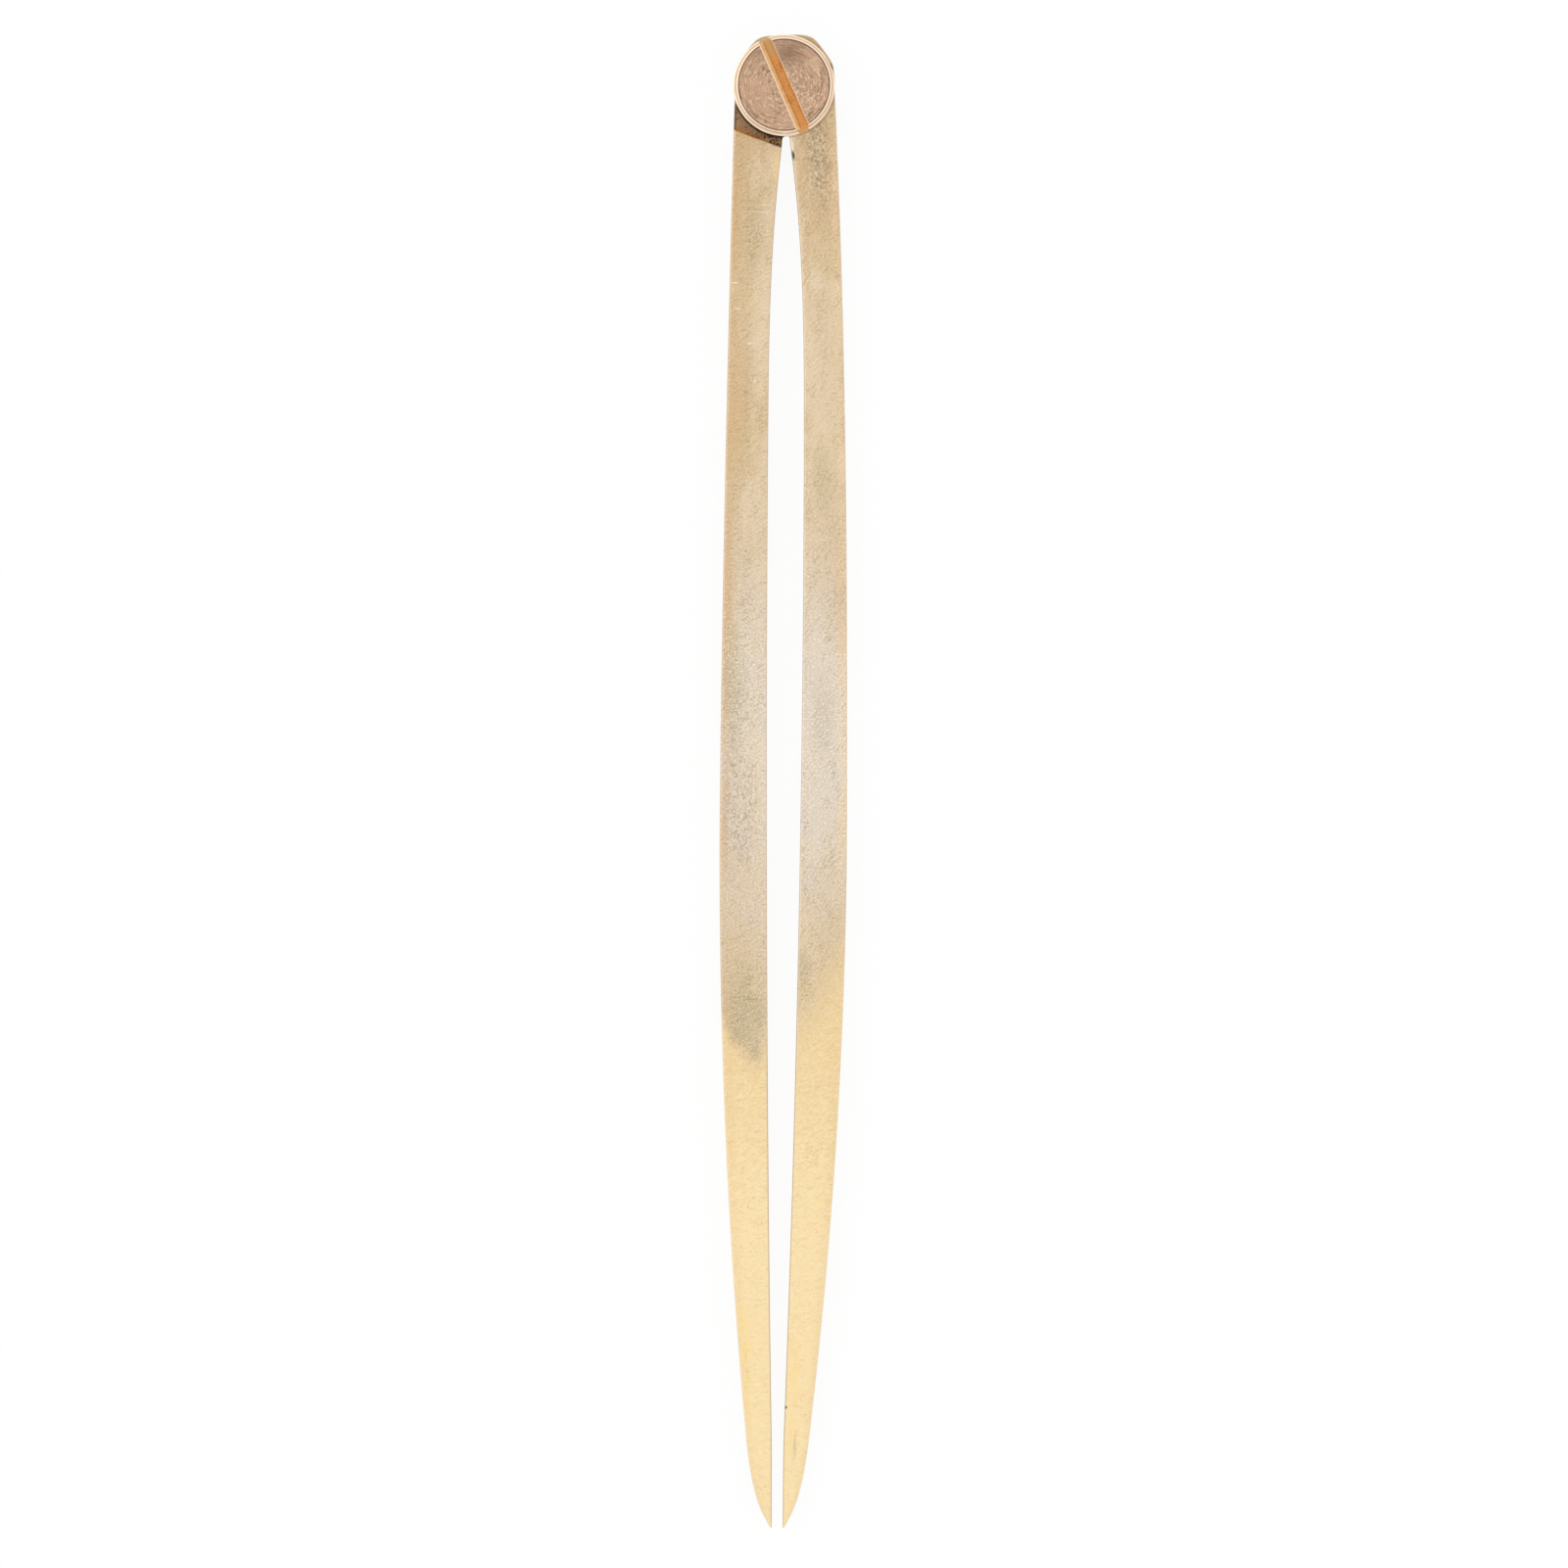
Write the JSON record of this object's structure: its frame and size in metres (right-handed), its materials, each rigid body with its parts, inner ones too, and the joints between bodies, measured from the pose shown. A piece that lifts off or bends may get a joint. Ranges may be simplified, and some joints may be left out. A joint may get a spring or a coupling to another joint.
{
  "type": "navigation divider",
  "caption": "Brass straight divider: bowed legs with solid points, half-lapped at the head and held by a slotted pivot screw.",
  "frame": {"origin": "on the pivot axis, at the plane of the legs' back faces", "axes": "+Z along the pivot axis towards the screw head, +Y towards the top of the head, +X to the right as seen from the screw side"},
  "size_m": [0.0153, 0.18, 0.0054],
  "materials": {
    "leg_brass": "satin, handled",
    "screw_brass": "turned, tarnished",
    "washer_brass": "rubbed bright",
    "washer_bronze": "rolled sheet"
  },
  "bodies": {
    "left_leg": {"left_leg": "leg_brass", "friction_washer": "washer_bronze"},
    "right_leg": {"right_leg": "leg_brass"},
    "spring_washer": {"spring_washer": "washer_brass"},
    "pivot_screw": {"pivot_screw": "screw_brass"}
  },
  "joints": [
    {"name": "leg_hinge", "type": "hinge", "parent": "left_leg", "child": "right_leg", "pos_m": [0, 0, 0], "axis": [0, 0, 1], "range_deg": [-0.42, 180]},
    {"name": "screw_lift", "type": "slide", "parent": "left_leg", "child": "spring_washer", "axis": [0, 0, 1], "range_m": [0, 0.0006]},
    {"name": "screw_turn", "type": "hinge", "parent": "spring_washer", "child": "pivot_screw", "pos_m": [0, 0, 0], "axis": [0, 0, 1], "range_deg": [0, 270]}
  ],
  "couplings": [
    {"joint": "screw_turn", "follows": "screw_lift", "rad_per_m": 7854}
  ]
}
